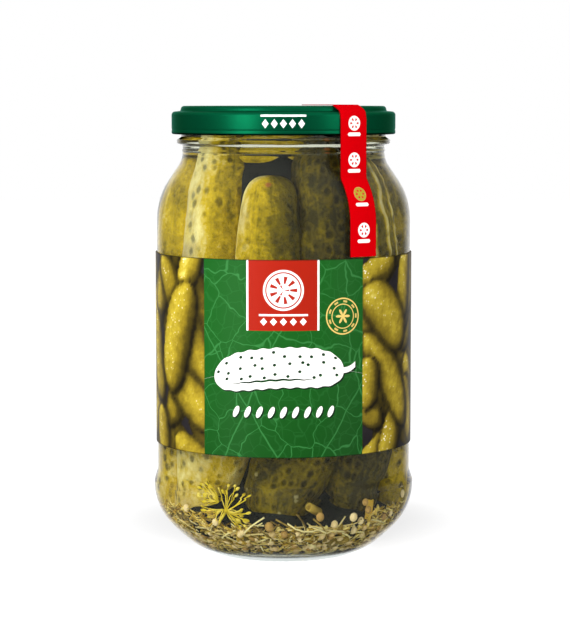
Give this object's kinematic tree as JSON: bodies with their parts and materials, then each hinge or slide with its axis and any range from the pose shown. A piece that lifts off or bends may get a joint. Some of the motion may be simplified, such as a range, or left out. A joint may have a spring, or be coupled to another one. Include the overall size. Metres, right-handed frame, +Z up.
{
  "type": "pickle jar",
  "caption": "Shut glass jar of whole gherkins in brine over a bed of mustard seed, with a stepped green twist-off lid, a wrap-round printed label and a red paper seal strip.",
  "frame": {"origin": "the middle of the base, on the surface that the jar stands on", "axes": "+Z up along the jar's axis, -Y out of the front of the label, +X to the right seen from the front"},
  "size_m": [0.0992, 0.0992, 0.1702],
  "materials": {
    "glass": "clear flint glass, smooth, thick at the base",
    "lid_green": "glossy deep green lacquer on tinplate",
    "label_print": "coated paper, printed in green, red, cream, gold and dark olive",
    "strip_red": "coated red paper with small pale motifs",
    "gherkin": "wet gherkin skin, yellow green to dark olive, with warts",
    "spice": "mustard seed and cut stalks, tan and brown",
    "dill": "yellow green dill head"
  },
  "bodies": {
    "root": {"jar_glass": "glass", "lid": "lid_green", "label": "label_print", "seal_strip": "strip_red", "pickles": "gherkin", "spices": "spice", "dill_head": "dill"}
  },
  "joints": []
}
